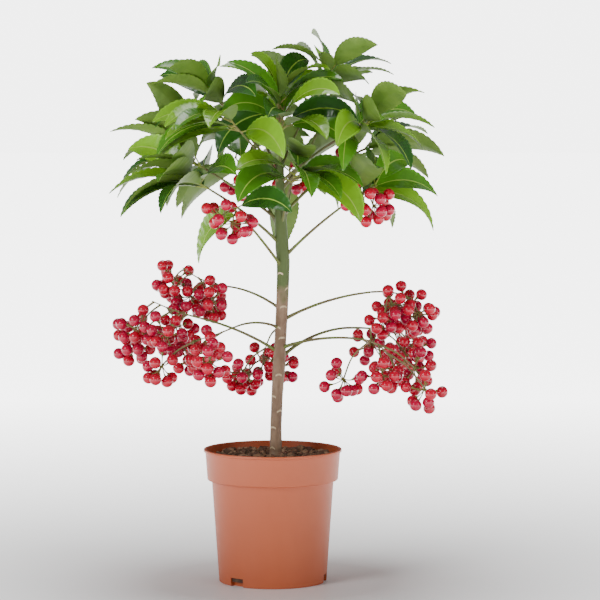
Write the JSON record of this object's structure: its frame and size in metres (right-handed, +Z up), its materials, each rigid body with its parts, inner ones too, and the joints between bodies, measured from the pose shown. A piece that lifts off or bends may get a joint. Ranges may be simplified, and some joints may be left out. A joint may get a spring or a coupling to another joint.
{
  "type": "potted coral ardisia",
  "caption": "Small evergreen shrub on one bare trunk, with an umbrella crown of glossy leaves and side boughs hung with red berries, in a round nursery pot.",
  "frame": {"origin": "middle of the pot's flat underside", "axes": "+Z up, +X to the plant's right as it is usually looked at, -Y its front"},
  "size_m": [0.2901, 0.2414, 0.4712],
  "materials": {
    "terracotta": "satin moulded terracotta-coloured plastic",
    "compost": "rough dark compost with bark chips",
    "bark": "smooth beige-brown bark with pale leaf scars, green above",
    "green_bark": "smooth green-brown young bark",
    "leaf": "glossy evergreen leaf with a paler rib and underside",
    "berry": "glossy red berries on thin olive-brown stalks"
  },
  "bodies": {
    "root": {"pot": "terracotta", "soil": "compost", "trunk": "bark", "bough_left_high": "green_bark", "bough_left_front": "green_bark", "bough_left": "green_bark", "bough_back": "green_bark", "bough_right_high": "green_bark", "bough_right_front": "green_bark", "bough_right_back": "green_bark", "bough_front_left_low": "green_bark", "bough_left_low": "green_bark", "bough_left_mid": "green_bark", "bough_back_left_low": "green_bark", "bough_right_low": "green_bark", "bough_front_low": "green_bark", "bough_back_right_low": "green_bark", "bough_back_low": "green_bark", "bough_left_top": "green_bark", "bough_front_top": "green_bark", "bough_leader": "green_bark", "bough_right_top": "green_bark", "bough_right_mid": "green_bark", "bough_back_right_top": "green_bark", "bough_back_left_top": "green_bark", "bough_front_left_top": "green_bark", "fruit_left_high": "berry", "fruit_left_front": "berry", "fruit_left": "berry", "fruit_back": "berry", "fruit_right_high": "berry", "fruit_right_front": "berry", "fruit_right_back": "berry", "leaves_front_left_low": "leaf", "leaves_left_low": "leaf", "leaves_left_mid": "leaf", "leaves_back_left_low": "leaf", "leaves_right_low": "leaf", "leaves_front_low": "leaf", "leaves_back_right_low": "leaf", "leaves_back_low": "leaf", "leaves_left_top": "leaf", "leaves_front_top": "leaf", "leaves_leader": "leaf", "leaves_right_top": "leaf", "leaves_right_mid": "leaf", "leaves_back_right_top": "leaf", "leaves_back_left_top": "leaf", "leaves_front_left_top": "leaf"}
  },
  "joints": []
}
